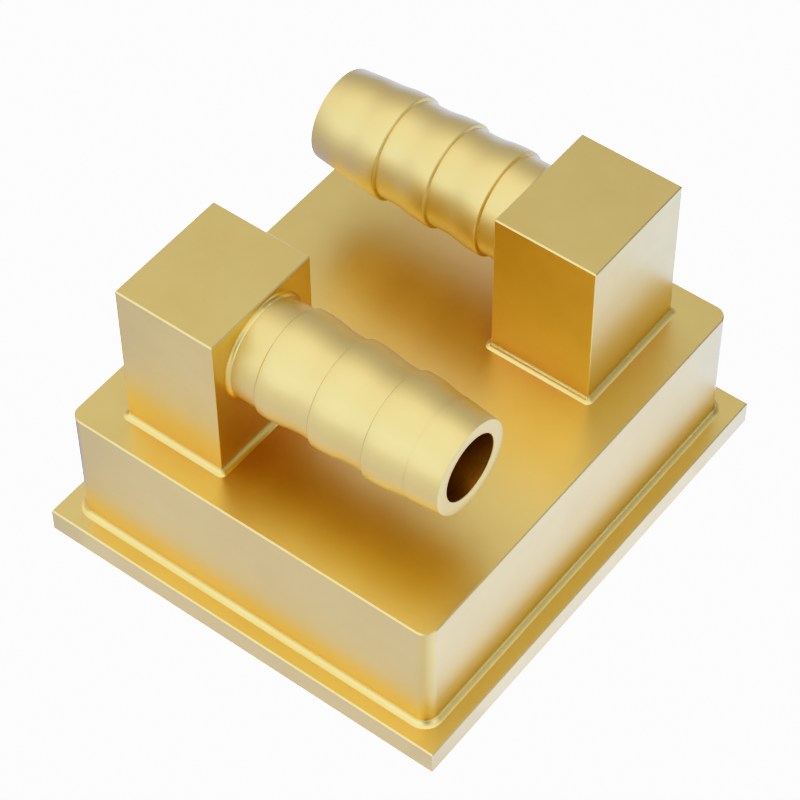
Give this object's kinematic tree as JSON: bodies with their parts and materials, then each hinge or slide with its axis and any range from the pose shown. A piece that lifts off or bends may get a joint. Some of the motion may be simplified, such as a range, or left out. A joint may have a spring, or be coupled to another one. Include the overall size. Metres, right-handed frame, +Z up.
{
  "type": "liquid cooling cold plate",
  "caption": "Brazed brass cold plate with a flat cooled base, fins inside a box cover, and square port blocks whose barbed hose tails point opposite ways.",
  "frame": {"origin": "middle of the base plate's underside, the face that is pressed on the heat source", "axes": "+Z up from that face, +Y along the base plate's longer side, +X along the hose tails: the inlet's points to +X and the outlet's to -X"},
  "size_m": [0.04, 0.045, 0.0298],
  "materials": {
    "milled_brass": "satin, fine bead blast",
    "turned_brass": "satin, turned",
    "braze": "smooth, as it flowed"
  },
  "bodies": {
    "root": {"base_plate": "milled_brass", "cover": "milled_brass", "cover_braze": "braze", "inlet_port_block": "milled_brass", "outlet_port_block": "milled_brass", "inlet_hose_tail": "turned_brass", "outlet_hose_tail": "turned_brass", "inlet_block_braze": "braze", "outlet_block_braze": "braze", "inlet_tail_braze": "braze", "outlet_tail_braze": "braze"}
  },
  "joints": []
}
